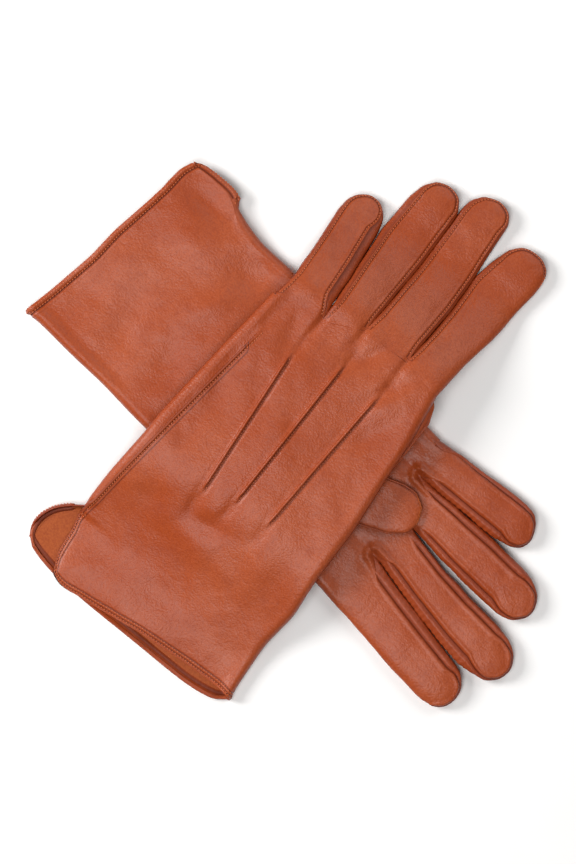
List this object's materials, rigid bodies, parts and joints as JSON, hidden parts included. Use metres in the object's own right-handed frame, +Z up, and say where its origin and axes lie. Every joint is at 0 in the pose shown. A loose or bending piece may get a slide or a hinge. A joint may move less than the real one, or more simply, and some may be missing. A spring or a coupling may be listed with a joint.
{
  "type": "pair of leather dress gloves",
  "caption": "Pair of tan leather dress gloves lying crossed, one back up and one palm up, with bending fingers and thumbs.",
  "frame": {"origin": "middle of the pair's base box, on the face that rests on the table", "axes": "+Z up, away from the table; +Y along the left glove from cuff to fingertips; +X along the row's longer side, 8.1 degrees from the right glove's direction from cuff to fingertips"},
  "size_m": [0.2904, 0.275, 0.0265],
  "materials": {
    "glove_leather": "smooth cognac-tan dress leather with a fine grain and a soft sheen, suede inside",
    "hem_leather": "the same leather turned in and stitched, slightly darker and rounded",
    "fourchette_leather": "the same leather, thin and softly wrinkled",
    "seam_leather": "the same leather, gathered along the stitching"
  },
  "bodies": {
    "left_hand": {"left_back_panel": "glove_leather", "left_back_points": "glove_leather", "left_cuff_binding": "hem_leather", "left_palm_panel": "glove_leather", "left_side_seam": "seam_leather"},
    "left_index_finger": {"left_index_back": "glove_leather", "left_index_fourchette_little_side": "fourchette_leather", "left_index_palm": "glove_leather"},
    "left_little_finger": {"left_little_back": "glove_leather", "left_little_fourchette_index_side": "fourchette_leather", "left_little_palm": "glove_leather", "left_little_side_seam": "seam_leather"},
    "left_middle_finger": {"left_middle_back": "glove_leather", "left_middle_fourchette_index_side": "fourchette_leather", "left_middle_fourchette_little_side": "fourchette_leather", "left_middle_palm": "glove_leather"},
    "left_ring_finger": {"left_ring_back": "glove_leather", "left_ring_fourchette_index_side": "fourchette_leather", "left_ring_fourchette_little_side": "fourchette_leather", "left_ring_palm": "glove_leather"},
    "left_thumb_stall": {"left_thumb_inner": "glove_leather", "left_thumb_outer": "glove_leather", "left_thumb_seam": "seam_leather"},
    "right_hand": {"right_back_panel": "glove_leather", "right_back_points": "glove_leather", "right_cuff_binding": "hem_leather", "right_palm_panel": "glove_leather", "right_side_seam": "seam_leather"},
    "right_index_finger": {"right_index_back": "glove_leather", "right_index_fourchette_little_side": "fourchette_leather", "right_index_palm": "glove_leather"},
    "right_little_finger": {"right_little_back": "glove_leather", "right_little_fourchette_index_side": "fourchette_leather", "right_little_palm": "glove_leather", "right_little_side_seam": "seam_leather"},
    "right_middle_finger": {"right_middle_back": "glove_leather", "right_middle_fourchette_index_side": "fourchette_leather", "right_middle_fourchette_little_side": "fourchette_leather", "right_middle_palm": "glove_leather"},
    "right_ring_finger": {"right_ring_back": "glove_leather", "right_ring_fourchette_index_side": "fourchette_leather", "right_ring_fourchette_little_side": "fourchette_leather", "right_ring_palm": "glove_leather"},
    "right_thumb_stall": {"right_thumb_inner": "glove_leather", "right_thumb_outer": "glove_leather", "right_thumb_seam": "seam_leather"}
  },
  "joints": [
    {"name": "left_glove_lift", "type": "slide", "parent": "right_hand", "child": "left_hand", "axis": [0, 0, 1], "range_m": [0, 0.08]},
    {"name": "left_little_finger_bend", "type": "hinge", "parent": "left_hand", "child": "left_little_finger", "pos_m": [-0.04333, 0.05183, 0.0251], "axis": [0.9966, 0.0822, 0], "range_deg": [0, 45]},
    {"name": "left_ring_finger_bend", "type": "hinge", "parent": "left_hand", "child": "left_ring_finger", "pos_m": [-0.02113, 0.05883, 0.02275], "axis": [0.9999, 0.0144, 0], "range_deg": [0, 45]},
    {"name": "left_middle_finger_bend", "type": "hinge", "parent": "left_hand", "child": "left_middle_finger", "pos_m": [0.00217, 0.05883, 0.02275], "axis": [0.9999, 0.014, 0], "range_deg": [0, 45]},
    {"name": "left_index_finger_bend", "type": "hinge", "parent": "left_hand", "child": "left_index_finger", "pos_m": [0.02547, 0.05883, 0.02275], "axis": [0.9968, -0.0804, 0], "range_deg": [0, 45]},
    {"name": "left_thumb_swing", "type": "hinge", "parent": "left_hand", "child": "left_thumb_stall", "pos_m": [0.02627, -0.02917, 0.0151], "axis": [0, 0, 1], "range_deg": [-20, 15]},
    {"name": "right_little_finger_bend", "type": "hinge", "parent": "right_hand", "child": "right_little_finger", "pos_m": [0.06492, 0.02, 0.0087], "axis": [0.0085, -1, 0], "range_deg": [0, 65]},
    {"name": "right_ring_finger_bend", "type": "hinge", "parent": "right_hand", "child": "right_ring_finger", "pos_m": [0.071, -0.00117, 0.0087], "axis": [-0.1061, -0.9944, 0], "range_deg": [0, 65]},
    {"name": "right_middle_finger_bend", "type": "hinge", "parent": "right_hand", "child": "right_middle_finger", "pos_m": [0.07176, -0.0242, 0.0087], "axis": [-0.2017, -0.9794, 0], "range_deg": [0, 65]},
    {"name": "right_index_finger_bend", "type": "hinge", "parent": "right_hand", "child": "right_index_finger", "pos_m": [0.06806, -0.05024, 0.0087], "axis": [-0.2176, -0.976, 0], "range_deg": [0, 65]},
    {"name": "right_thumb_swing", "type": "hinge", "parent": "right_hand", "child": "right_thumb_stall", "pos_m": [-0.01826, -0.0322, 0.0108], "axis": [0, 0, 1], "range_deg": [-10, 19]}
  ]
}
